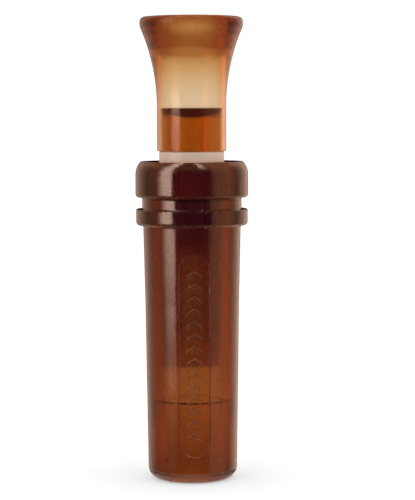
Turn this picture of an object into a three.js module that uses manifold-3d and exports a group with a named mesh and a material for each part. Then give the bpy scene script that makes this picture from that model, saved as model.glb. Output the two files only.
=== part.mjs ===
// A mouth-blown tube call: a tapered barrel with a lanyard groove, a flared bell, and between them a
// reed plug with its tone board, two reeds and the wedge that holds them. Millimetres, +Z up.
// The call stands on its mouth end, with the origin at the centre of that end's flat face. The moulded
// panel on the barrel faces -Y.
import * as THREE from 'three';
import { mergeVertices } from 'three/addons/utils/BufferGeometryUtils.js';
import Module from 'manifold-3d';

const wasm = await Module();
wasm.setup();

// ---------------------------------------------------------------- driving dimensions
const ROUND = 40; // facets round the axis
const CHANNEL_ROUND = 24; // facets round the tone channel's bore
const SADDLE_ROUND = 96; // facets round the whole circle that the seal's seat is an arc of
const CURVE_STEPS = 8; // steps along each curve of a flat outline
const MERGE = 1e-4; // vertices nearer than this are one
const FIT = 0.1; // gap between pieces that slide on each other
const PAST = 1; // how far a cutting solid runs past what it cuts

const barrel = {
  height: 89.8,
  lipRadius: 3.3, // outer rounding of the mouth end
  lipFlat: 9.25, // outer radius of the flat the call stands on
  waistRadius: 13.22, // outer radius at waistHeight
  waistHeight: 50,
  neckRadius: 13.72, // outer radius under the flange
  boreRadius: 8.8,
  mouthStep: 22.6, // height at which the bore narrows to the mouthpiece
  mouthTop: 8.4, // mouthpiece bore radius at that step
  mouthBottom: 7.5, // and at the mouth end
  mouthRound: 0.9,
};
const flange = { bottom: 71.9, top: 76.45, radius: 15.7, lowRound: 1, topRound: 0.35 };
const groove = { radius: 13.98, fillet: 0.4 };
const collar = { bottom: 79.75, radius: 15.86, lowRound: 1, shoulder: 5.1, shoulderArc: 44.7 };
const sleeveSeat = { radius: 9.3, depth: 3.5, leadIn: 0.4 };

// The sunk panel on the barrel's front, and the chevrons that stand up in it.
const panel = { low: 7.8, high: 64.3, width: 8.6, depth: 0.3, turn: 2.7 };
const chevrons = { count: 14, span: 3.8, rise: 1.3, stroke: 0.8, proud: 0.22, margin: 4.6 };

const sleeve = { bore: 8.25, radius: 9.15, top: 92.6, chamfer: 0.3 };

const bell = {
  bottom: 92.7,
  top: 130.2,
  neckRadius: 9.72,
  chamfer: 0.4,
  flareStart: 105,
  flareArc: 56, // radius of the flare's outline
  flareSteps: 7,
  rimRadius: 14.5,
  rimRound: 1.4,
  rimBand: 0.6, // height of the rim's straight side
  boreRadius: 8.75,
  boreTop: 121.8,
  hornRadius: 7, // the narrower opening through the rim
  hornRound: 1,
};

const plug = {
  turn: 9, // degrees that the tone board's face is turned from -Y
  top: 104.7,
  tenonRadius: 8.65,
  stemRadius: 8.15,
  stemBottom: 64, // where the round head ends and the board goes on alone
  boardBottom: 31.8,
  face: 0.8, // the board's face lies this far in front of the axis
  fall: 1, // degrees that the face falls away from the reeds below the wedge
  tipBack: 5.6, // distance of the board's back from the axis at its tip
  tipRise: 16, // length over which the back slopes in to the tip
};
const mortise = { top: 79.9, halfWidth: 5.8, depth: 3.8 };
const channel = { radius: 3, behind: 3, bottom: 37.5, troughTop: 64.5 }; // the tone channel
const seal = {
  thickness: 2.6,
  bore: 6.3, // leaves a wall round the tone channel, which reaches 6 mm from the axis
  seatLow: 101.4, // lower than any point of the bowed seat
  saddle: 22.6, // radius of the bowed seat
};

// The reeds flex as plates that tilt about the middle of their clamped length, so `gap` leaves them room
// to tilt until they lie along the board's face.
const reed = {
  halfWidth: 5.5,
  thickness: 0.3,
  gap: 0.2,
  top: 79.5,
  longTip: 32.7, // height of the long reed's tip
  shortTip: 39.2,
  tipRound: 2.5,
};
const wedge = { bottom: 66, top: 79.5, halfWidth: 5.5, bevel: 1.2 };

// ---------------------------------------------------------------- materials
const plastic = (color, roughness) => new THREE.MeshStandardMaterial({ color, roughness, metalness: 0 });
const amberGloss = () => plastic(0x7a3412, 0.2);
const amberFrosted = () => plastic(0xa8672c, 0.35);
const whiteNylon = () => plastic(0xd6c6b8, 0.5);
const blackRubber = () => plastic(0x1c1512, 0.7);
const reedFilm = () => plastic(0xc9b48a, 0.3);
const cork = () => plastic(0x9b6a3c, 0.9);

// ---------------------------------------------------------------- geometry helpers
const radians = THREE.MathUtils.degToRad;

// Points on a round corner, from angle `from` to angle `to` in degrees, in a plane of radius and height.
function corner(radius, height, size, from, to, steps = 3) {
  const points = [];
  for (let i = 0; i <= steps; i++) {
    const angle = radians(THREE.MathUtils.lerp(from, to, i / steps));
    points.push([radius + size * Math.cos(angle), height + size * Math.sin(angle)]);
  }
  return points;
}

// A solid of revolution about Z, from [radius, height] points that run anticlockwise.
function turned(outline) {
  const points = outline.map(([r, z]) => new THREE.Vector2(r, z));
  if (outline[0][0] > 0) points.push(points[0].clone());
  return new THREE.LatheGeometry(points, ROUND).rotateX(Math.PI / 2);
}

// A plain washer or tube.
function tube(inner, outer, low, high) {
  return turned([[inner, low], [outer, low], [outer, high], [inner, high]]);
}

// An outline in X and Z, extruded along Y from `front` to `back`.
function frontPlate(shape, front, back) {
  const options = { depth: back - front, bevelEnabled: false, curveSegments: CURVE_STEPS };
  return new THREE.ExtrudeGeometry(shape, options).rotateX(Math.PI / 2).translate(0, back, 0);
}

// An outline in Y and Z, extruded along X for `halfWidth` each side of the axis.
function sidePlate(outline, halfWidth) {
  const shape = new THREE.Shape(outline.map(([y, z]) => new THREE.Vector2(y, z)));
  const geometry = new THREE.ExtrudeGeometry(shape, { depth: 2 * halfWidth, bevelEnabled: false });
  return geometry.rotateY(Math.PI / 2).rotateX(Math.PI / 2).translate(-halfWidth, 0, 0);
}

function block(x0, x1, y0, y1, z0, z1) {
  const geometry = new THREE.BoxGeometry(x1 - x0, y1 - y0, z1 - z0);
  return geometry.translate((x0 + x1) / 2, (y0 + y1) / 2, (z0 + z1) / 2);
}

// A BufferGeometry as a manifold-3d solid, and back.
function toSolid(geometry) {
  const bare = geometry.clone();
  bare.deleteAttribute('normal');
  bare.deleteAttribute('uv');
  const merged = mergeVertices(bare, MERGE);
  const triVerts = new Uint32Array(merged.index.array);
  return new wasm.Manifold(
    new wasm.Mesh({ numProp: 3, vertProperties: merged.attributes.position.array, triVerts }),
  );
}

function toGeometry(solid) {
  const { vertProperties, triVerts } = solid.getMesh();
  const geometry = new THREE.BufferGeometry();
  geometry.setAttribute('position', new THREE.BufferAttribute(vertProperties, 3));
  geometry.setIndex(new THREE.BufferAttribute(triVerts, 1));
  geometry.computeVertexNormals();
  return geometry;
}

function part(name, geometry, material) {
  const mesh = new THREE.Mesh(geometry, material);
  mesh.name = name;
  return mesh;
}

// ---------------------------------------------------------------- barrel
// The tapered tube's outer outline below the flange, moved inwards by `sunk`.
function taper(sunk = 0) {
  return [
    [barrel.lipFlat + barrel.lipRadius - sunk, barrel.lipRadius],
    [barrel.waistRadius - sunk, barrel.waistHeight],
    [barrel.neckRadius - sunk, flange.bottom],
  ];
}

function barrelOutline() {
  const seatFloor = barrel.height - sleeveSeat.depth;
  const shoulderLow = barrel.height - collar.shoulder * Math.sin(radians(collar.shoulderArc));
  return [
    ...corner(barrel.lipFlat, barrel.lipRadius, barrel.lipRadius, -90, 0, 5),
    ...taper().slice(1),
    ...corner(flange.radius - flange.lowRound, flange.bottom + flange.lowRound, flange.lowRound, -90, 0),
    ...corner(flange.radius - flange.topRound, flange.top - flange.topRound, flange.topRound, 0, 90, 1),
    ...corner(groove.radius + groove.fillet, flange.top + groove.fillet, groove.fillet, 270, 180, 1),
    ...corner(groove.radius + groove.fillet, collar.bottom - groove.fillet, groove.fillet, 180, 90, 1),
    ...corner(collar.radius - collar.lowRound, collar.bottom + collar.lowRound, collar.lowRound, -90, 0),
    ...corner(collar.radius - collar.shoulder, shoulderLow, collar.shoulder, 0, collar.shoulderArc),
    [sleeveSeat.radius + sleeveSeat.leadIn, barrel.height],
    [sleeveSeat.radius, barrel.height - sleeveSeat.leadIn],
    [sleeveSeat.radius, seatFloor],
    [barrel.boreRadius, seatFloor],
    [barrel.boreRadius, barrel.mouthStep],
    [barrel.mouthTop, barrel.mouthStep],
    ...corner(barrel.mouthBottom + barrel.mouthRound, barrel.mouthRound, barrel.mouthRound, 180, 270, 2),
  ];
}

// The panel's upright outline, with round ends.
function panelShape() {
  const half = panel.width / 2;
  const shape = new THREE.Shape();
  shape.moveTo(half, panel.low + half);
  shape.absarc(0, panel.high - half, half, 0, Math.PI);
  shape.absarc(0, panel.low + half, half, Math.PI, 2 * Math.PI);
  return shape;
}

// One plain chevron that points up, with its lowest point at height z.
function chevronShape(z) {
  const half = chevrons.span / 2;
  const { rise, stroke } = chevrons;
  const outline = [
    [-half, z],
    [0, z + rise],
    [half, z],
    [half, z + stroke],
    [0, z + rise + stroke],
    [-half, z + stroke],
  ];
  return new THREE.Shape(outline.map(([x, y]) => new THREE.Vector2(x, y)));
}

// A shape pushed through the barrel's front wall from outside, turned with the panel.
function throughFront(shape) {
  const wallMiddle = (barrel.boreRadius + barrel.waistRadius) / 2;
  const relief = frontPlate(shape, -barrel.neckRadius - PAST, -wallMiddle);
  return toSolid(relief.rotateZ(radians(panel.turn)));
}

// Everything inside the tapered tube's outline, moved inwards by `sunk`.
function taperCore(sunk) {
  return toSolid(turned([[0, barrel.lipRadius], ...taper(sunk), [0, flange.bottom]]));
}

function makeBarrel() {
  const recess = throughFront(panelShape()).subtract(taperCore(panel.depth));
  const raisedCore = taperCore(panel.depth - chevrons.proud);
  let solid = toSolid(turned(barrelOutline())).subtract(recess);
  const first = panel.low + chevrons.margin;
  const last = panel.high - chevrons.margin - chevrons.rise - chevrons.stroke;
  for (let i = 0; i < chevrons.count; i++) {
    const z = THREE.MathUtils.lerp(first, last, i / (chevrons.count - 1));
    solid = solid.add(throughFront(chevronShape(z)).intersect(raisedCore));
  }
  return part('barrel', toGeometry(solid), amberGloss());
}

// ---------------------------------------------------------------- bell and sleeve
function bellOutline() {
  const b = bell;
  const flareEnd = b.top - b.rimRound - b.rimBand;
  const flare = [];
  for (let i = 0; i <= b.flareSteps; i++) {
    const rise = ((flareEnd - b.flareStart) * i) / b.flareSteps;
    const out = b.flareArc - Math.sqrt(b.flareArc ** 2 - rise ** 2);
    flare.push([Math.min(b.neckRadius + out, b.rimRadius), b.flareStart + rise]);
  }
  return [
    [b.boreRadius, b.bottom],
    [b.neckRadius - b.chamfer, b.bottom],
    [b.neckRadius, b.bottom + b.chamfer],
    ...flare,
    ...corner(b.rimRadius - b.rimRound, b.top - b.rimRound, b.rimRound, 0, 90),
    ...corner(b.hornRadius + b.hornRound, b.top - b.hornRound, b.hornRound, 90, 180, 2),
    [b.hornRadius, b.boreTop],
    [b.boreRadius, b.boreTop],
  ];
}

function makeBell() {
  return part('bell', turned(bellOutline()), amberFrosted());
}

// The pale ring that seats in the barrel and shows below the bell.
function makeSleeve() {
  const bottom = barrel.height - sleeveSeat.depth + FIT;
  const outline = [
    [sleeve.bore, bottom],
    [sleeve.radius - sleeve.chamfer, bottom],
    [sleeve.radius, bottom + sleeve.chamfer],
    [sleeve.radius, sleeve.top],
    [sleeve.bore, sleeve.top],
  ];
  return part('friction_sleeve', turned(outline), whiteNylon());
}

// ---------------------------------------------------------------- reed plug with its tone board
// A round bar that lies along Y, `extra` larger all round than the seat it shapes. The seal is inside the
// bar and the plug is outside it.
function saddleBar(extra) {
  const radius = seal.saddle + extra;
  const bar = new THREE.CylinderGeometry(radius, radius, 4 * plug.tenonRadius, SADDLE_ROUND);
  return bar.translate(0, 0, plug.top - seal.thickness + seal.saddle);
}

// Where the board's face lies at height z: it falls away from the reeds below the wedge.
function faceAt(z) {
  return -plug.face + Math.max(wedge.bottom - z, 0) * Math.tan(radians(plug.fall));
}

// The tone board from the side, as [y, z] points. Its back slopes in to the tip.
function boardOutline() {
  const behind = plug.tenonRadius + PAST;
  const tip = plug.boardBottom;
  return [
    [-plug.face, plug.top],
    [-plug.face, wedge.bottom],
    [faceAt(tip), tip],
    [plug.tipBack, tip],
    [behind, tip + plug.tipRise],
    [behind, plug.top],
  ];
}

// What is cut from the plug's head for the wedge and reeds, from the side as [y, z] points.
function mortiseOutline() {
  const mouth = plug.stemBottom - PAST;
  const front = -plug.face - mortise.depth;
  return [
    [front, mouth],
    [faceAt(mouth), mouth],
    [-plug.face, wedge.bottom],
    [-plug.face, mortise.top],
    [front, mortise.top],
  ];
}

// The plug's round body, with the shoulder that rests on the sleeve.
function plugRound() {
  const shoulder = sleeve.top + FIT;
  return turned([
    [0, plug.boardBottom],
    [plug.stemRadius, plug.boardBottom],
    [plug.stemRadius, shoulder],
    [plug.tenonRadius, shoulder],
    [plug.tenonRadius, plug.top],
    [0, plug.top],
  ]);
}

// The tone channel: an open trough under the reeds, and a round bore from there through the plug's top.
function toneChannel() {
  const { radius, behind, bottom, troughTop } = channel;
  const top = plug.top + PAST;
  const bore = new THREE.CylinderGeometry(radius, radius, top - bottom, CHANNEL_ROUND);
  bore.rotateX(Math.PI / 2).translate(0, behind, (top + bottom) / 2);
  const trough = block(-radius, radius, -plug.face - PAST, behind, bottom, troughTop);
  return toSolid(bore).add(toSolid(trough));
}

function makePlug() {
  const round = toSolid(plugRound());
  const wide = plug.tenonRadius + PAST;
  const board = round.intersect(toSolid(sidePlate(boardOutline(), wide)));
  const head = round.intersect(toSolid(block(-wide, wide, -wide, wide, plug.stemBottom, plug.top)));
  // the seal's seat keeps to the call's own X and Y, so it is turned back by the plug's turn
  const saddle = toSolid(saddleBar(0).rotateZ(-radians(plug.turn)));
  const seat = toSolid(tube(seal.bore, plug.tenonRadius + PAST, seal.seatLow, plug.top + PAST));
  const solid = head
    .add(board)
    .subtract(toSolid(sidePlate(mortiseOutline(), mortise.halfWidth)))
    .subtract(toneChannel())
    .subtract(seat.intersect(saddle));
  return part('tone_board', toGeometry(solid), amberGloss());
}

// The dark sealing ring on the plug's end. Its underside is bowed to sit in the plug's saddle.
function makeSeal() {
  const ring = toSolid(tube(seal.bore + FIT, plug.tenonRadius, seal.seatLow, plug.top));
  return part('bell_seal', toGeometry(ring.intersect(toSolid(saddleBar(-FIT)))), blackRubber());
}

// A reed with a rounded tip at height `tip`. `level` is how many reeds lie between it and the board.
function makeReed(name, tip, level) {
  const back = -plug.face - reed.gap - level * (reed.thickness + reed.gap);
  const w = reed.halfWidth;
  const r = reed.tipRound;
  const shape = new THREE.Shape();
  shape.moveTo(w, reed.top);
  shape.lineTo(-w, reed.top);
  shape.lineTo(-w, tip + r);
  shape.quadraticCurveTo(-w, tip, -w + r, tip);
  shape.lineTo(w - r, tip);
  shape.quadraticCurveTo(w, tip, w, tip + r);
  return part(name, frontPlate(shape, back - reed.thickness, back), reedFilm());
}

// The cork wedge over the reeds, bevelled at its lower end.
function makeWedge() {
  const back = -plug.face - reed.gap - 2 * (reed.thickness + reed.gap);
  const front = -plug.face - mortise.depth + FIT;
  const outline = [
    [back, wedge.bottom],
    [back, wedge.top],
    [front, wedge.top],
    [front, wedge.bottom + wedge.bevel],
    [front + wedge.bevel, wedge.bottom],
  ];
  return part('reed_wedge', sidePlate(outline, wedge.halfWidth), cork());
}

// ---------------------------------------------------------------- the call
const insert = new THREE.Group();
insert.rotation.z = radians(plug.turn);
insert.add(
  makePlug(),
  makeReed('long_reed', reed.longTip, 0),
  makeReed('short_reed', reed.shortTip, 1),
  makeWedge(),
);

const call = new THREE.Group();
call.add(makeBarrel(), makeSleeve(), makeBell(), makeSeal(), insert);

export default call;
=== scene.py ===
"""The looks of a mouth-blown tube call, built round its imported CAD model.

Shapes are drawn in millimetres and turned into metres by MM. Heights start from the CAD nodes' own boxes,
so each visible piece sits where its node is.
"""

import functools
import math

import bpy
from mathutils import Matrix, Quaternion, Vector


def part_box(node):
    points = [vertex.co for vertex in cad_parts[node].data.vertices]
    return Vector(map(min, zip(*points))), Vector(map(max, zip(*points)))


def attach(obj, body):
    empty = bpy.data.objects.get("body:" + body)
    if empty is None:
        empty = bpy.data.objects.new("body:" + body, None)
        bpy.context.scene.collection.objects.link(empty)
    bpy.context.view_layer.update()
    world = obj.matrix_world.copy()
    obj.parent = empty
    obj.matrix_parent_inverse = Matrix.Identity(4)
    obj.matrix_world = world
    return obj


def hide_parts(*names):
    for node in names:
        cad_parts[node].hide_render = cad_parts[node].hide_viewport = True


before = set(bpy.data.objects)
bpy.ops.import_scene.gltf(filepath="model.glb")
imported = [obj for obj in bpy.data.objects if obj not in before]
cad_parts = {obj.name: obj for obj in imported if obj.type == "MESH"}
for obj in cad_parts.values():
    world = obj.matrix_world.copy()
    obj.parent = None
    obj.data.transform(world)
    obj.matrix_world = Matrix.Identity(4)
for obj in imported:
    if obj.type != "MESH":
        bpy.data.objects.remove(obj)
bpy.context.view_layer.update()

MM = 0.001
TURNS = 160  # facets round the axis
ARC_STEP = 10  # degrees between points on a rounded corner
SHARP = math.radians(35)  # edges over this angle stay crisp
PLUG_TURN = math.radians(9)  # how far the tone board's face is turned from the front
PANEL_TURN = math.radians(2.7)  # and the barrel's sunk panel
FRONT = -math.pi / 2  # angle of the call's front, -Y


@functools.cache
def node_box(node):
    """A CAD node's lowest and highest corners, in millimetres."""
    low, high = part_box(node)
    return low / MM, high / MM


# ---------------------------------------------------------------- outlines
def arc(radius, height, size, start, end):
    """Points on a round corner in a plane of radius and height, from one angle to another in degrees."""
    steps = max(2, round(abs(end - start) / ARC_STEP))
    points = []
    for i in range(steps + 1):
        angle = math.radians(start + (end - start) * i / steps)
        points.append((radius + size * math.cos(angle), height + size * math.sin(angle)))
    return points


def supported(outline):
    """The outline with a point near each end of its long straights, which keeps their shading flat."""
    reach, long = 0.12, 1
    points = []
    for here, there in zip(outline, outline[1:] + outline[:1]):
        points.append(here)
        length = math.dist(here, there)
        if length > long:
            for part in (reach / length, 1 - reach / length):
                points.append(tuple(a + (b - a) * part for a, b in zip(here, there)))
    return points


# The tapered tube: height and outer radius at its foot, at its bend and under the flange.
TAPER = ((3.3, 12.55), (50, 13.22), (71.9, 13.72))
GROOVE_LOW, GROOVE_TOP, GROOVE_RADIUS = 76.45, 79.75, 13.98
MOUTH_RADIUS = 8.4
LEDGE = 121.8  # height of the ledge in the bell's bore


def barrel_outline():
    """The barrel's section, anticlockwise from the flat foot, with close rows up the panel."""
    top, collar = node_box("barrel")[1].z, node_box("barrel")[1].x
    lip, foot_edge = TAPER[0][0], 9.25
    flange_low, under_flange = TAPER[2]
    flange, low_round, top_round, fillet = 15.7, 1, 0.35, 0.4
    shoulder, shoulder_arc = 5.1, 44.7
    shoulder_low = top - shoulder * math.sin(math.radians(shoulder_arc))
    bore, step, mouth_low, mouth_round = 8.8, 22.3, 7.5, 0.9
    seat, seat_floor, lead_in = 9.3, top - 3.5, 0.4
    return [
        *arc(foot_edge, lip, lip, -90, 0),
        *taper_rows(PANEL_LOW - PANEL_PAST, PANEL_HIGH + PANEL_PAST),
        *arc(under_flange + fillet, flange_low - fillet, fillet, 180, 90),
        *arc(flange - low_round, flange_low + low_round, low_round, -90, 0),
        *arc(flange - top_round, GROOVE_LOW - top_round, top_round, 0, 90),
        *arc(GROOVE_RADIUS + fillet, GROOVE_LOW + fillet, fillet, 270, 180),
        *arc(GROOVE_RADIUS + fillet, GROOVE_TOP - fillet, fillet, 180, 90),
        *arc(collar - low_round, GROOVE_TOP + low_round, low_round, -90, 0),
        *arc(collar - shoulder, shoulder_low, shoulder, 0, shoulder_arc),
        (seat + lead_in, top),
        (seat, top - lead_in),
        (seat, seat_floor),
        (bore, seat_floor),
        (bore, step + bore - MOUTH_RADIUS),
        (MOUTH_RADIUS, step),
        *arc(mouth_low + mouth_round, mouth_round, mouth_round, 180, 270),
    ]


def taper_radius(z):
    """The tapered tube's outer radius below the flange."""
    foot, bend, top = TAPER
    (low, near), (high, far) = (foot, bend) if z < bend[0] else (bend, top)
    return near + (far - near) * (z - low) / (high - low)


def taper_rows(low, high):
    """Close rows up the tapered tube, fine enough for the panel's edges."""
    step = 0.12
    count = round((high - low) / step)
    return [(taper_radius(z), z) for z in (low + (high - low) * i / count for i in range(count + 1))]


def bell_outline():
    """The bell's section, anticlockwise from the lower end of its bore."""
    low, high = node_box("bell")
    rim, rim_round, rim_band = high.x, 1.4, 0.6
    neck, edge, flare_start, flare_arc, flare_steps = 9.72, 0.4, 105, 56, 28
    bore, horn, horn_round = 8.75, 7, 1
    flare_end = high.z - rim_round - rim_band
    flare = []
    for i in range(flare_steps + 1):
        rise = (flare_end - flare_start) * i / flare_steps
        out = flare_arc - math.sqrt(flare_arc**2 - rise**2)
        flare.append((min(neck + out, rim), flare_start + rise))
    return [
        (bore, low.z),
        *arc(neck - edge, low.z + edge, edge, -90, 0),
        *flare,
        *arc(rim - rim_round, high.z - rim_round, rim_round, 0, 90),
        *arc(horn + horn_round, high.z - horn_round, horn_round, 90, 180),
        (horn, LEDGE),
        (bore, LEDGE),
    ]


def sleeve_outline():
    low, high = node_box("friction_sleeve")
    bore, edge = 8.25, 0.3
    return [
        (bore, low.z),
        *arc(high.x - edge, low.z + edge, edge, -90, 0),
        *arc(high.x - edge, high.z - edge, edge, 0, 90),
        (bore, high.z),
    ]


# ---------------------------------------------------------------- meshes
def new_object(name, points, faces, material):
    """A smooth-shaded mesh object from points in millimetres, whose sharp edges stay crisp."""
    mesh = bpy.data.meshes.new(name)
    mesh.from_pydata([[value * MM for value in point] for point in points], [], faces)
    mesh.validate()
    shade(mesh)
    mesh.materials.append(material)
    obj = bpy.data.objects.new(name, mesh)
    bpy.context.scene.collection.objects.link(obj)
    return obj


def shade(mesh):
    """Smooth shading, but for the sharp edges."""
    mesh.shade_smooth()
    mesh.set_sharp_from_angle(angle=SHARP)


def even_angles(count=TURNS):
    return [2 * math.pi * i / count for i in range(count)]


def panel_angles():
    """Even angles, with many more over the panel's width."""
    centre, half, fine = FRONT + PANEL_TURN, math.radians(23), 96
    rest = 2 * math.pi - 2 * half
    angles = [centre - half + 2 * half * i / fine for i in range(fine)]
    return angles + [centre + half + rest * i / TURNS for i in range(TURNS)]


def lathe(name, outline, material, angles=None, moved=None):
    """A closed ring of an outline round Z. moved(radius, height, angle) gives the new radius and height."""
    angles = angles or even_angles()
    points = []
    for angle in angles:
        for r, z in outline:
            radius, height = moved(r, z, angle) if moved else (r, z)
            points.append((radius * math.cos(angle), radius * math.sin(angle), height))
    rows, turns = len(outline), len(angles)
    faces = []
    for i in range(turns):
        here, there = i * rows, (i + 1) % turns * rows
        for j in range(rows):
            k = (j + 1) % rows
            faces.append((here + j, there + j, there + k, here + k))
    return new_object(name, points, faces, material)


# ---------------------------------------------------------------- barrel
PANEL_LOW, PANEL_HIGH, PANEL_WIDTH, PANEL_DEPTH = 7.8, 64.3, 8.6, 0.3
PANEL_PAST = 1  # how far the close rows run past the panel's ends
CHEVRONS, CHEVRON_SPAN, CHEVRON_RISE, CHEVRON_STROKE, CHEVRON_PROUD = 14, 4.0, 1.3, 0.85, 0.28
PANEL_MARGIN = 4.6  # from the panel's ends to the chevrons
EDGE = 0.15  # half the width over which a panel edge rounds over


def smooth_step(value):
    """0 below -EDGE, 1 above EDGE, and an S curve between."""
    t = min(max((value + EDGE) / (2 * EDGE), 0), 1)
    return t * t * (3 - 2 * t)


def inside_panel(across, z):
    """Distance inside the panel's outline, which has round ends."""
    half = PANEL_WIDTH / 2
    near = min(max(z, PANEL_LOW + half), PANEL_HIGH - half)
    return half - math.hypot(across, z - near)


def inside_chevron(across, z):
    """Distance inside the nearest of the chevrons, which point up."""
    first = PANEL_LOW + PANEL_MARGIN
    last = PANEL_HIGH - PANEL_MARGIN - CHEVRON_RISE - CHEVRON_STROKE
    pitch = (last - first) / (CHEVRONS - 1)
    half = CHEVRON_SPAN / 2
    lean = CHEVRON_RISE / half
    height = z + abs(across) * lean - first - CHEVRON_RISE - CHEVRON_STROKE / 2
    index = min(max(round(height / pitch), 0), CHEVRONS - 1)
    off = abs(height - index * pitch) / math.hypot(1, lean)
    return min(CHEVRON_STROKE / 2 - off, half - abs(across))


def sunk_panel(r, z, angle):
    """Moves the barrel's outer surface in over the panel, and part of the way out again at the chevrons."""
    slack = 0.01
    if r < taper_radius(z) - slack or not PANEL_LOW - PANEL_PAST < z < PANEL_HIGH + PANEL_PAST:
        return r, z
    turn = (angle - FRONT - PANEL_TURN + math.pi) % (2 * math.pi) - math.pi
    if abs(turn) > math.pi / 4:
        return r, z
    across = r * math.sin(turn)
    sunk = PANEL_DEPTH * smooth_step(inside_panel(across, z))
    return r - sunk + CHEVRON_PROUD * smooth_step(inside_chevron(across, z)), z


def make_barrel(material):
    barrel = lathe("barrel_shell", supported(barrel_outline()), material, panel_angles(), sunk_panel)
    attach(barrel, "barrel")
    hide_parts("barrel")


# ---------------------------------------------------------------- bell, sleeve and seal
def make_bell(material):
    bell = lathe("bell_shell", supported(bell_outline()), material)
    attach(bell, "bell")
    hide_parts("bell")


def make_sleeve(material):
    sleeve = lathe("sleeve_ring", supported(sleeve_outline()), material)
    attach(sleeve, "sleeve")
    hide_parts("friction_sleeve")


def lifted(r, z, angle, saddle):
    """A ring's point, lifted to follow a bar of radius `saddle` that lies along Y."""
    across = r * math.cos(angle)
    return r, z + saddle - math.sqrt(saddle**2 - across**2)


def bowed(r, z, angle):
    """Bows the seal's underside."""
    saddle, underside = 22.5, node_box("bell_seal")[0].z + 0.5
    return (r, z) if z > underside else lifted(r, z, angle, saddle)


def make_seal(material):
    low, high = node_box("bell_seal")
    bore, outer, edge = 6.4, 8.64, 0.25
    outline = [
        (bore, low.z),
        (outer, low.z),
        *arc(outer - edge, high.z - edge, edge, 0, 90),
        *arc(bore + edge, high.z - edge, edge, 90, 180),
    ]
    seal = lathe("seal_ring", supported(outline), material, moved=bowed)
    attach(seal, "plug")
    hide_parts("bell_seal")


# ---------------------------------------------------------------- reed plug
def box_between(name, low, high):
    corners = [(x, y, z) for x in (low[0], high[0]) for y in (low[1], high[1]) for z in (low[2], high[2])]
    faces = [(0, 1, 3, 2), (4, 6, 7, 5), (0, 4, 5, 1), (2, 3, 7, 6), (0, 2, 6, 4), (1, 5, 7, 3)]
    return new_object(name, corners, faces, None)


def prism(name, outline, half_width):
    """An outline of (y, z) points, extruded along X each side of the axis."""
    count = len(outline)
    points = [(x, y, z) for x in (-half_width, half_width) for y, z in outline]
    faces = [tuple(range(count))[::-1], tuple(range(count, 2 * count))]
    faces += [(i, (i + 1) % count, (i + 1) % count + count, i + count) for i in range(count)]
    return new_object(name, points, faces, None)


def post(name, sides, centre=(0, 0), turns=TURNS):
    """A solid of revolution about a line parallel to Z, from its side's (radius, z) points."""
    points = []
    for angle in even_angles(turns):
        points += [(centre[0] + r * math.cos(angle), centre[1] + r * math.sin(angle), z) for r, z in sides]
    rows = len(sides)
    foot = tuple(i * rows for i in reversed(range(turns)))
    head = tuple(i * rows + rows - 1 for i in range(turns))
    faces = [foot, head]
    for i in range(turns):
        here, there = i * rows, (i + 1) % turns * rows
        faces += [(here + j, there + j, there + j + 1, here + j + 1) for j in range(rows - 1)]
    return new_object(name, points, faces, None)


def combine(base, tool, operation):
    """Joins or cuts base with tool by an exact boolean, and removes tool."""
    modifier = base.modifiers.new("boolean", "BOOLEAN")
    modifier.operation = operation
    modifier.solver = "EXACT"
    modifier.object = tool
    graph = bpy.context.evaluated_depsgraph_get()
    mesh = bpy.data.meshes.new_from_object(base.evaluated_get(graph))
    base.modifiers.clear()
    base.data = mesh
    bpy.data.objects.remove(tool)


PLUG_FACE, PLUG_FALL = 0.8, math.radians(1)  # the board's face, and how it falls away below the wedge
STEM_RADIUS, TENON_RADIUS = 8.15, 8.65
WIDE = 12  # half the width of a solid that runs past the plug on every side
PAST = 1  # how far a cutting solid runs past what it cuts


def face_at(z):
    """Where the board's face lies across the call at height z."""
    wedge_low = node_box("reed_wedge")[0].z
    return -PLUG_FACE + max(wedge_low - z, 0) * math.tan(PLUG_FALL)


def plug_round():
    """The sides of the plug's round bar, with its softened shoulder."""
    low, high = node_box("tone_board")
    gap, edge = 0.1, 0.3
    shoulder = node_box("friction_sleeve")[1].z + gap
    return [
        (STEM_RADIUS, low.z),
        (STEM_RADIUS, shoulder),
        *arc(TENON_RADIUS - edge, shoulder + edge, edge, -90, 0),
        (TENON_RADIUS, high.z),
    ]


def board_side():
    """The length below the head from the side: what is kept of the round bar there."""
    low, high = node_box("tone_board")
    wedge_low = node_box("reed_wedge")[0].z
    tip_back, tip_rise, tip_reach = 5.6, 16, TENON_RADIUS + PAST
    return [
        (-PLUG_FACE, high.z),
        (-PLUG_FACE, wedge_low),
        (face_at(low.z), low.z),
        (tip_back, low.z),
        (WIDE, low.z + tip_rise * (WIDE - tip_back) / (tip_reach - tip_back)),
        (WIDE, high.z),
    ]


def mortise_side():
    """The slot for the wedge and reeds, from the side."""
    mouth, top, depth = 63, 79.9, 3.8
    wedge_low = node_box("reed_wedge")[0].z
    front = -PLUG_FACE - depth
    return [
        (front, mouth),
        (face_at(mouth), mouth),
        (-PLUG_FACE, wedge_low),
        (-PLUG_FACE, top),
        (front, top),
    ]


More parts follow.
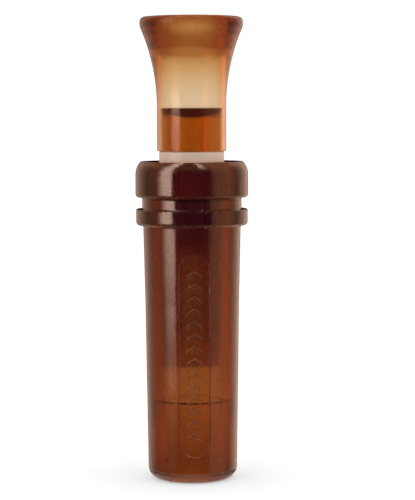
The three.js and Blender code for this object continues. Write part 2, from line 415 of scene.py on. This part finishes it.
def make_plug(material):
    """The round bar, cut away to the board, with its mortise, tone channel, trough and seal seat."""
    top = node_box("tone_board")[1].z
    stem_low, mortise_half = 64, 5.8
    channel_low, channel_radius, channel_behind, channel_turns = 37.5, 3, 3, 50
    trough_half, trough_back = 2.9, 2.6  # just inside the channel, so the two cuts cross cleanly
    trough_lift, trough_top = 0.05, 64.5
    plug = post("reed_plug", plug_round())
    board = prism("board", board_side(), WIDE)
    head = box_between("head", (-WIDE, -WIDE, stem_low), (WIDE, WIDE, top + PAST))
    combine(board, head, "UNION")
    combine(plug, board, "INTERSECT")
    combine(plug, prism("mortise", mortise_side(), mortise_half), "DIFFERENCE")
    channel = [(channel_radius, channel_low), (channel_radius, top + PAST)]
    combine(plug, post("channel", channel, (0, channel_behind), channel_turns), "DIFFERENCE")
    trough_low = (-trough_half, -PLUG_FACE - PAST, channel_low + trough_lift)
    trough = box_between("trough", trough_low, (trough_half, trough_back, trough_top))
    combine(plug, trough, "DIFFERENCE")
    turn_about_z(plug, PLUG_TURN)
    combine(plug, seal_seat(), "DIFFERENCE")
    plug.data.materials.clear()
    plug.data.materials.append(material)
    shade(plug.data)
    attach(plug, "plug")
    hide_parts("tone_board")


def turn_about_z(obj, angle):
    """Turns an object's mesh about the call's axis."""
    cos, sin = math.cos(angle), math.sin(angle)
    for vertex in obj.data.vertices:
        x, y, z = vertex.co
        vertex.co = (x * cos - y * sin, x * sin + y * cos, z)


def seal_seat():
    """What the plug's upper end gives up to the seal, bowed below like the seal."""
    low, high = node_box("bell_seal")
    bore, gap, saddle = 6.3, 0.1, 22.6
    outer = TENON_RADIUS + PAST

    def bowed_seat(r, z, angle):
        return (r, z) if z > high.z else lifted(r, z, angle, saddle)

    outline = [
        (bore, low.z - gap),
        (outer, low.z - gap),
        (outer, high.z + PAST),
        (bore, high.z + PAST),
    ]
    return lathe("seat", outline, None, moved=bowed_seat)


# ---------------------------------------------------------------- materials
def new_material(name):
    material = bpy.data.materials.new(name)
    material.use_nodes = True
    tree = material.node_tree
    return material, tree, tree.nodes["Principled BSDF"]


def link(tree, source, target):
    tree.links.new(source, target)


def noise(tree, scale, detail=4, stretch=(1, 1, 1)):
    """A noise texture in the object's own space, with `scale` features a metre."""
    place = tree.nodes.new("ShaderNodeTexCoord")
    mapping = tree.nodes.new("ShaderNodeMapping")
    mapping.inputs["Scale"].default_value = stretch
    texture = tree.nodes.new("ShaderNodeTexNoise")
    texture.inputs["Scale"].default_value = scale
    texture.inputs["Detail"].default_value = detail
    link(tree, place.outputs["Object"], mapping.inputs["Vector"])
    link(tree, mapping.outputs["Vector"], texture.inputs["Vector"])
    return texture.outputs["Fac"]


def ramp(tree, value, low, high, start=0.0, end=1.0):
    """A value between low and high, as the input goes from start to end."""
    node = tree.nodes.new("ShaderNodeMapRange")
    node.inputs["From Min"].default_value = start
    node.inputs["From Max"].default_value = end
    node.inputs["To Min"].default_value = low
    node.inputs["To Max"].default_value = high
    link(tree, value, node.inputs["Value"])
    return node.outputs["Result"]


def bump(tree, shader, heights):
    """Chains bumps from (height socket, depth in metres) pairs into the shader's normal."""
    before = None
    for height, distance in heights:
        node = tree.nodes.new("ShaderNodeBump")
        node.inputs["Distance"].default_value = distance
        link(tree, height, node.inputs["Height"])
        if before:
            link(tree, before.outputs["Normal"], node.inputs["Normal"])
        before = node
    link(tree, before.outputs["Normal"], shader.inputs["Normal"])


def calculate(tree, operation, first, second=0.0):
    """A math node's result. Each value is a number or a socket."""
    node = tree.nodes.new("ShaderNodeMath")
    node.operation = operation
    for slot, value in zip(node.inputs, (first, second)):
        if isinstance(value, (int, float)):
            slot.default_value = value
        else:
            link(tree, value, slot)
    return node.outputs["Value"]


def product(tree, *values):
    """Numbers and sockets, multiplied."""
    result = values[0]
    for value in values[1:]:
        result = calculate(tree, "MULTIPLY", result, value)
    return result


def total(tree, *values):
    """The sum of numbers and sockets."""
    result = values[0]
    for value in values[1:]:
        result = calculate(tree, "ADD", result, value)
    return result


def above(tree, value, start, end):
    """0 below start and 1 above end, in millimetres."""
    return ramp(tree, value, 0, 1, start * MM, end * MM)


def below(tree, value, start, end):
    """1 below start and 0 above end, in millimetres."""
    return ramp(tree, value, 1, 0, start * MM, end * MM)


def two_tone(tree, value, first, second):
    """A colour that goes from first to second as the value goes from 0 to 1."""
    colour = tree.nodes.new("ShaderNodeValToRGB")
    colour.color_ramp.elements[0].color = (*first, 1)
    colour.color_ramp.elements[1].color = (*second, 1)
    link(tree, value, colour.inputs["Fac"])
    return colour.outputs["Color"]


def object_axes(tree):
    """The X, Y and Z sockets of the object's own space, in metres."""
    place = tree.nodes.new("ShaderNodeTexCoord")
    split = tree.nodes.new("ShaderNodeSeparateXYZ")
    link(tree, place.outputs["Object"], split.inputs["Vector"])
    return split.outputs["X"], split.outputs["Y"], split.outputs["Z"]


def distance_from_axis(tree):
    x, y, _ = object_axes(tree)
    squares = total(tree, product(tree, x, x), product(tree, y, y))
    return calculate(tree, "SQRT", squares)


def amber(name, tint, density, finish, relief, gloss=1.0):
    """Clear amber plastic. finish(tree) gives its roughness and relief(tree) its bumps."""
    material, tree, shader = new_material(name)
    shader.inputs["Base Color"].default_value = (1, 1, 1, 1)
    shader.inputs["Transmission Weight"].default_value = 1
    shader.inputs["IOR"].default_value = 1.5
    shader.inputs["Specular Tint"].default_value = (gloss, gloss, gloss, 1)
    wear = ramp(tree, noise(tree, 900, 6, (1, 1, 0.25)), 0.75, 1.3, 0.3, 0.7)
    link(tree, product(tree, finish(tree), wear), shader.inputs["Roughness"])
    bump(tree, shader, relief(tree))
    volume = tree.nodes.new("ShaderNodeVolumeAbsorption")
    volume.inputs["Color"].default_value = (*tint, 1)
    volume.inputs["Density"].default_value = density
    link(tree, volume.outputs["Volume"], tree.nodes["Material Output"].inputs["Volume"])
    return material


def moulded_edges(tree):
    """1 on the steep edges of the barrel's panel and chevrons, and where the foot's rounding starts."""
    _, _, height = object_axes(tree)
    (foot, foot_radius), (bend, bend_radius), (top, top_radius) = TAPER
    taper = total(
        tree,
        ramp(tree, height, foot_radius * MM, bend_radius * MM, foot * MM, bend * MM),
        ramp(tree, height, 0, (top_radius - bend_radius) * MM, bend * MM, top * MM),
    )
    depth = calculate(tree, "SUBTRACT", taper, distance_from_axis(tree))
    under_skin = above(tree, depth, 0.02, 0.06)
    return product(tree, under_skin, below(tree, depth, PANEL_DEPTH - 0.07, PANEL_DEPTH - 0.02))


def barrel_finish(tree):
    """Polished outside, smooth in the mouth, and dull in the bore, at the lip and on moulded edges."""
    polished, reamed, dull, lip, frosted = 0.11, 0.1, 0.3, 0.35, 0.5
    _, _, height = object_axes(tree)
    bore = total(
        tree,
        ramp(tree, height, reamed, dull, 24 * MM, 28 * MM),
        ramp(tree, height, lip, 0, 4 * MM, 8 * MM),
    )
    outside = above(tree, distance_from_axis(tree), 9.6, 10)
    skin = product(tree, calculate(tree, "SUBTRACT", polished, bore), outside)
    return total(tree, skin, bore, product(tree, moulded_edges(tree), frosted))


def bell_finish(tree):
    """Satin outside, a little duller in the bore, and frosted in the throat and on the ledge below it."""
    satin, rim_satin, duller, frost = 0.14, 0.22, 0.03, 0.35
    _, _, height = object_axes(tree)
    bore = below(tree, distance_from_axis(tree), 8.9, 9.3)
    frosted = product(tree, ramp(tree, height, 0, frost, (LEDGE - 2.6) * MM, (LEDGE - 1) * MM), bore)
    outside = ramp(tree, height, satin, rim_satin, (LEDGE - 2.8) * MM, (LEDGE + 0.2) * MM)
    return total(tree, outside, product(tree, bore, duller), frosted)


def plug_finish(tree):
    """Machined and dull, but for the tenon, which is polished to fit the bell."""
    _, _, height = object_axes(tree)
    return ramp(tree, height, 0.35, 0.15, 91 * MM, 93 * MM)


def barrel_relief(tree):
    """Moulding waves, a fine grain, and turning lines on the collar."""
    _, _, height = object_axes(tree)
    on_collar = above(tree, height, 79, 80)
    lines = product(tree, noise(tree, 1300, 3, (0.03, 0.03, 1)), on_collar)
    return [
        (noise(tree, 160, 2, (1, 1, 0.3)), 0.01 * MM),
        (noise(tree, 1800, 3), 0.01 * MM),
        (lines, 0.06 * MM),
    ]


def bell_relief(tree):
    """Faint moulding waves and a satin grain."""
    return [(noise(tree, 140, 2, (1, 1, 0.4)), 0.01 * MM), (noise(tree, 2600, 2), 0.0015 * MM)]


def plug_relief(tree):
    """Tool waves, and the pebbles of the tenon's speckled patch."""
    return [(noise(tree, 160, 2, (1, 1, 0.3)), 0.01 * MM), (speckle(tree), 0.015 * MM)]


def speckle(tree):
    """Pebbles in a patch on the front of the tenon, to the right: 1 on a pebble, 0 between.

    A half on the rest of the tenon, and 1 below it.
    """
    left, right, front, tenon = (0.4, 1.6), (4.4, 5), (-5, -4), (92, 93)  # where the patch fades, in mm
    x, y, height = object_axes(tree)
    patch = product(
        tree,
        above(tree, x, *left),
        below(tree, x, *right),
        below(tree, y, *front),
        above(tree, height, *tenon),
    )
    pebbles = ramp(tree, noise(tree, 1100, 1), -0.5, 0.5, 0.42, 0.5)
    stem = ramp(tree, height, 0.5, 0, 91 * MM, 92 * MM)
    return total(tree, product(tree, pebbles, patch), 0.5, stem)


def speckled_tint(material):
    """The plug's orange skin, clear on the pebbles and darker between them."""
    tree = material.node_tree
    colour = two_tone(tree, speckle(tree), (0.8, 0.5, 0.2), (1, 1, 0.9))
    middle = colour.node.color_ramp.elements.new(0.5)
    middle.color = (0.78, 0.56, 0.22, 1)
    link(tree, colour, tree.nodes["Principled BSDF"].inputs["Base Color"])
    return material


def painted_shade(material):
    """Painted shade: a dark colour in the two corners of the lanyard groove, where the collar overhangs it,
    and a little on the panel's moulded edges.
    """
    tree = material.node_tree
    _, _, height = object_axes(tree)
    radius = distance_from_axis(tree)
    upper = above(tree, height, GROOVE_TOP - 0.8, GROOVE_TOP - 0.6)
    lower = ramp(tree, height, 0.7, 0, (GROOVE_LOW + 0.3) * MM, (GROOVE_LOW + 0.5) * MM)
    groove = product(
        tree,
        above(tree, height, GROOVE_LOW - 0.15, GROOVE_LOW - 0.03),
        below(tree, height, GROOVE_TOP, GROOVE_TOP + 0.05),
        above(tree, radius, 13, 13.5),
        below(tree, radius, 14.1, 14.6),
    )
    edge_shade = product(tree, moulded_edges(tree), 0.4)
    painted_shade_mask = total(tree, product(tree, total(tree, upper, lower), groove), edge_shade)
    # painted shade: near black where the mask is full, white (clear) elsewhere
    colour = two_tone(tree, painted_shade_mask, (1, 1, 1), (0.03, 0.01, 0.01))
    link(tree, colour, tree.nodes["Principled BSDF"].inputs["Base Color"])
    return material


def tinted(material, tint):
    """An even tint where light passes the surface."""
    material.node_tree.nodes["Principled BSDF"].inputs["Base Color"].default_value = (*tint, 1)
    return material


def nylon():
    """Off-white turned nylon, with fine rings from the tool and a little light carried inside."""
    material, tree, shader = new_material("white_nylon")
    colour = two_tone(tree, noise(tree, 260, 5), (0.55, 0.42, 0.33), (0.66, 0.51, 0.41))
    link(tree, colour, shader.inputs["Base Color"])
    shader.inputs["Roughness"].default_value = 0.45
    shader.inputs["Subsurface Weight"].default_value = 0.2
    shader.inputs["Subsurface Radius"].default_value = (0.0012, 0.0009, 0.0007)
    shader.inputs["Subsurface Scale"].default_value = 1
    bump(tree, shader, [(noise(tree, 300, 2, (0.1, 0.1, 18)), 0.01 * MM)])
    return material


def rubber():
    """Dark brown rubber with a fine moulded grain."""
    material, tree, shader = new_material("seal_rubber")
    colour = two_tone(tree, noise(tree, 700, 5), (0.08, 0.012, 0.002), (0.15, 0.024, 0.004))
    link(tree, colour, shader.inputs["Base Color"])
    shader.inputs["Specular IOR Level"].default_value = 0.1
    link(tree, ramp(tree, noise(tree, 1500, 3), 0.5, 0.8), shader.inputs["Roughness"])
    bump(tree, shader, [(noise(tree, 3000, 3), 0.02 * MM)])
    return material


def reed_film():
    """Thin clear film with a cream cast, drawn along its length."""
    material, tree, shader = new_material("reed_film")
    grain = noise(tree, 900, 4, (1, 1, 0.06))
    colour = two_tone(tree, grain, (0.86, 0.8, 0.68), (0.95, 0.91, 0.82))
    link(tree, colour, shader.inputs["Base Color"])
    link(tree, ramp(tree, grain, 0.15, 0.3), shader.inputs["Roughness"])
    shader.inputs["Transmission Weight"].default_value = 0.9
    bump(tree, shader, [(grain, 0.01 * MM)])
    return material


def cork():
    """Agglomerated cork: pale and dark grains with small pits."""
    material, tree, shader = new_material("wedge_cork")
    place = tree.nodes.new("ShaderNodeTexCoord")
    cells = tree.nodes.new("ShaderNodeTexVoronoi")
    cells.inputs["Scale"].default_value = 1100
    link(tree, place.outputs["Object"], cells.inputs["Vector"])
    colour = two_tone(tree, cells.outputs["Distance"], (0.5, 0.28, 0.13), (0.9, 0.66, 0.4))
    link(tree, colour, shader.inputs["Base Color"])
    shader.inputs["Roughness"].default_value = 0.9
    bump(tree, shader, [(cells.outputs["Distance"], 0.1 * MM)])
    return material


def dress(node, material):
    """Gives a CAD node that stays its finished material."""
    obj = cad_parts[node]
    for slot in obj.material_slots:
        slot.material = material


# ---------------------------------------------------------------- studio
FLOOR_RADIUS, FLOOR_MIDDLE = 85, 20


def glowing_floor_material():
    """A pale floor that glows, brighter towards its rim, with painted light: an amber glow inside the mouth
    for the light that comes through the walls.
    """
    material, tree, shader = new_material("floor_white")
    shader.inputs["Base Color"].default_value = (0.5, 0.5, 0.5, 1)
    shader.inputs["Roughness"].default_value = 1
    shader.inputs["Specular IOR Level"].default_value = 0
    # painted light: the floor's own glow, amber inside the mouth and rising towards the rim
    colour = tree.nodes.new("ShaderNodeValToRGB")
    painted_glow_stops = colour.color_ramp.elements
    painted_glow_stops[0].position = MOUTH_RADIUS / FLOOR_RADIUS
    painted_glow_stops[0].color = (0.6, 0.27, 0.1, 1)
    painted_glow_stops[1].position = (MOUTH_RADIUS + 1) / FLOOR_RADIUS
    painted_glow_stops[1].color = (0.45, 0.45, 0.45, 1)
    painted_glow_stops.new(1).color = (0.6, 0.6, 0.6, 1)
    link(tree, ramp(tree, distance_from_axis(tree), 0, 1, 0, FLOOR_RADIUS * MM), colour.inputs["Fac"])
    link(tree, colour.outputs["Color"], shader.inputs["Emission Color"])
    shader.inputs["Emission Strength"].default_value = 1
    return material


def make_floor():
    """A small pale disc under the call, which fades into the white studio.

    Only its middle mirrors off the call.
    """
    count = 96
    material = glowing_floor_material()
    middle = [(FLOOR_MIDDLE * math.cos(a), FLOOR_MIDDLE * math.sin(a), 0) for a in even_angles(count)]
    rim = [(FLOOR_RADIUS * math.cos(a), FLOOR_RADIUS * math.sin(a), 0) for a in even_angles(count)]
    ring = [(i, i + count, (i + 1) % count + count, (i + 1) % count) for i in range(count)]
    new_object("floor_middle", middle, [tuple(range(count))], material)
    outer = new_object("floor", middle + rim, ring, material)
    outer.visible_glossy = False


WHITE_ROOM = 1.1  # strength of the studio as seen directly and through the plastic
DIM_CEILING = 0.6  # how much of that its ceiling has, seen through the plastic
SIDE_WALLS, RIGHT_WALL = 0.7, 0.6  # as they mirror off the call
LEFT_CORNER, RIGHT_CORNER = 1.15, 1.6  # beyond the walls; what is right behind is dark
CEILING, GROUND = 0.6, 0.5
WINDOW = 8.5  # strength of the tall light to the left
LAMP = 7.0  # and of the small one above on the right
LIGHT_COLOUR = (1.0, 0.72, 0.55)
WALL_COLOUR = (1.0, 0.5, 0.22)
CORNER_COLOUR = (1.0, 0.6, 0.42)
FRONT_COLOUR = (0.06, 0.0, 0.07)  # a dark plum cloth behind the camera


def smooth(tree, value, low, high, start, end):
    """Like ramp, with an S curve."""
    result = ramp(tree, value, low, high, start, end)
    result.node.interpolation_type = "SMOOTHSTEP"
    return result


def scaled(tree, colour, strength):
    node = tree.nodes.new("ShaderNodeVectorMath")
    node.operation = "SCALE"
    node.inputs[0].default_value = colour
    link(tree, strength, node.inputs["Scale"])
    return node.outputs["Vector"]


def turned(tree, azimuth, low, high, start, end):
    """A smooth step between two azimuths in degrees."""
    return smooth(tree, azimuth, low, high, math.radians(start), math.radians(end))


def mirrored_room(tree, azimuth, rise):
    """The room as the call mirrors it: plum in front, brown walls, and two lights."""
    aside = calculate(tree, "ABSOLUTE", azimuth)
    walls = turned(tree, aside, 0, SIDE_WALLS, 36, 54)
    right = product(
        tree,
        turned(tree, azimuth, 0, RIGHT_WALL, 37, 47),
        turned(tree, azimuth, 1, 0, 80, 110),
    )
    near = turned(tree, aside, 1, 0, 100, 130)
    corners = product(
        tree,
        turned(tree, azimuth, LEFT_CORNER, RIGHT_CORNER, -1, 1),
        turned(tree, aside, 0, 1, 100, 130),
        turned(tree, aside, 1, 0, 153, 170),
    )
    ceiling = smooth(tree, rise, 0, CEILING, 0.3, 0.7)
    ground = smooth(tree, rise, GROUND, 0, -0.7, -0.35)
    room = total(tree, product(tree, total(tree, walls, right), near), ceiling, ground)
    window = product(
        tree,
        turned(tree, azimuth, 1, 0, -44, -39),
        turned(tree, azimuth, 0, WINDOW, -78, -56),
        smooth(tree, rise, 0, 1, -0.17, -0.09),
    )
    lamp = product(
        tree,
        turned(tree, azimuth, 0, 1, 16, 22),
        turned(tree, azimuth, LAMP, 0, 32, 38),
        smooth(tree, rise, 0, 1, 0.6, 0.75),
    )
    lights = total(tree, window, lamp)
    front = turned(tree, aside, 1, 0, 80, 110)
    result = scaled(tree, WALL_COLOUR, room)
    for colour, strength in ((LIGHT_COLOUR, lights), (CORNER_COLOUR, corners), (FRONT_COLOUR, front)):
        both = tree.nodes.new("ShaderNodeVectorMath")
        link(tree, result, both.inputs[0])
        link(tree, scaled(tree, colour, strength), both.inputs[1])
        result = both.outputs["Vector"]
    return result


def make_world():
    """A white studio with a dim ceiling. What the call mirrors is mirrored_room instead."""
    world = bpy.data.worlds.new("studio")
    bpy.context.scene.world = world
    world.use_nodes = True
    tree = world.node_tree
    direction = tree.nodes.new("ShaderNodeTexCoord")
    split = tree.nodes.new("ShaderNodeSeparateXYZ")
    link(tree, direction.outputs["Generated"], split.inputs["Vector"])
    forward = calculate(tree, "MULTIPLY", split.outputs["Y"], -1.0)
    azimuth = calculate(tree, "ARCTAN2", split.outputs["X"], forward)
    rise = split.outputs["Z"]
    paths = tree.nodes.new("ShaderNodeLightPath")
    mirrored = calculate(tree, "MINIMUM", paths.outputs["Glossy Depth"], 1.0)
    refracted = calculate(tree, "MINIMUM", paths.outputs["Transmission Depth"], 1.0)
    loss = smooth(tree, rise, 0, WHITE_ROOM * (1 - DIM_CEILING), 0.3, 0.6)
    white = tree.nodes["Background"]
    strength = calculate(tree, "SUBTRACT", WHITE_ROOM, product(tree, loss, refracted))
    white.inputs["Color"].default_value = (1, 1, 1, 1)
    link(tree, strength, white.inputs["Strength"])
    room = tree.nodes.new("ShaderNodeBackground")
    link(tree, mirrored_room(tree, azimuth, rise), room.inputs["Color"])
    either = tree.nodes.new("ShaderNodeMixShader")
    link(tree, mirrored, either.inputs["Fac"])
    link(tree, white.outputs["Background"], either.inputs[1])
    link(tree, room.outputs["Background"], either.inputs[2])
    link(tree, either.outputs["Shader"], tree.nodes["World Output"].inputs["Surface"])


def softbox(name, azimuth, width, watts):
    """A tall soft lamp, at an azimuth in degrees from the front, positive to the camera's right."""
    distance, height, middle = 0.9, 1.6, 0.1
    lamp = bpy.data.lights.new(name, "AREA")
    lamp.shape = "RECTANGLE"
    lamp.size, lamp.size_y = width, height
    lamp.energy = watts
    obj = bpy.data.objects.new(name, lamp)
    angle = math.radians(azimuth)
    obj.location = (distance * math.sin(angle), -distance * math.cos(angle), middle)
    obj.rotation_mode = "QUATERNION"
    facing = Vector((0, 0, middle)) - obj.location
    obj.rotation_quaternion = facing.to_track_quat("-Z", "Y")
    obj.visible_camera = False
    obj.visible_transmission = False
    obj.visible_glossy = False
    bpy.context.scene.collection.objects.link(obj)


def make_camera():
    """Looks along +Y from a little above the call's middle, slightly down and past its left side."""
    distance, eye, lens = 0.535, 0.1047, 136.8
    down, aside, lean = math.radians(4.27), math.radians(0.467), math.radians(0.18)
    camera = bpy.data.cameras.new("camera")
    camera.lens = lens
    camera.sensor_width = 36
    camera.clip_start = 0.01
    obj = bpy.data.objects.new("camera", camera)
    obj.location = (0, -distance, eye)
    aim = Vector((math.sin(aside) * math.cos(down), math.cos(aside) * math.cos(down), -math.sin(down)))
    obj.rotation_mode = "QUATERNION"
    obj.rotation_quaternion = Quaternion(aim, lean) @ aim.to_track_quat("-Z", "Y")
    bpy.context.scene.collection.objects.link(obj)
    bpy.context.scene.camera = obj


BROWN_AMBER, PALE_AMBER, ORANGE_AMBER = (0.705, 0.425, 0.0), (0.786, 0.514, 0.0), (0.91, 0.74, 0.0)
GLOSS = 0.35  # how strongly the bell and the plug mirror, beside the barrel
# the barrel's colour carries painted shade in the groove's corners and on the panel's edges
make_barrel(painted_shade(amber("amber_barrel", BROWN_AMBER, 600, barrel_finish, barrel_relief)))
bell_plastic = amber("amber_bell", PALE_AMBER, 350, bell_finish, bell_relief, GLOSS)
make_bell(tinted(bell_plastic, (0.88, 0.82, 0.77)))
make_plug(speckled_tint(amber("amber_plug", ORANGE_AMBER, 330, plug_finish, plug_relief, GLOSS)))
make_sleeve(nylon())
make_seal(rubber())
dress("long_reed", reed_film())
dress("short_reed", reed_film())
dress("reed_wedge", cork())
make_floor()
make_world()
softbox("left_softbox", azimuth=-49, width=0.45, watts=1.5)
softbox("right_softbox", azimuth=60, width=0.5, watts=2.5)
make_camera()
scene = bpy.context.scene
scene.cycles.max_bounces = 32
scene.cycles.transmission_bounces = 32
scene.cycles.glossy_bounces = 8
scene.view_settings.view_transform = "Standard"
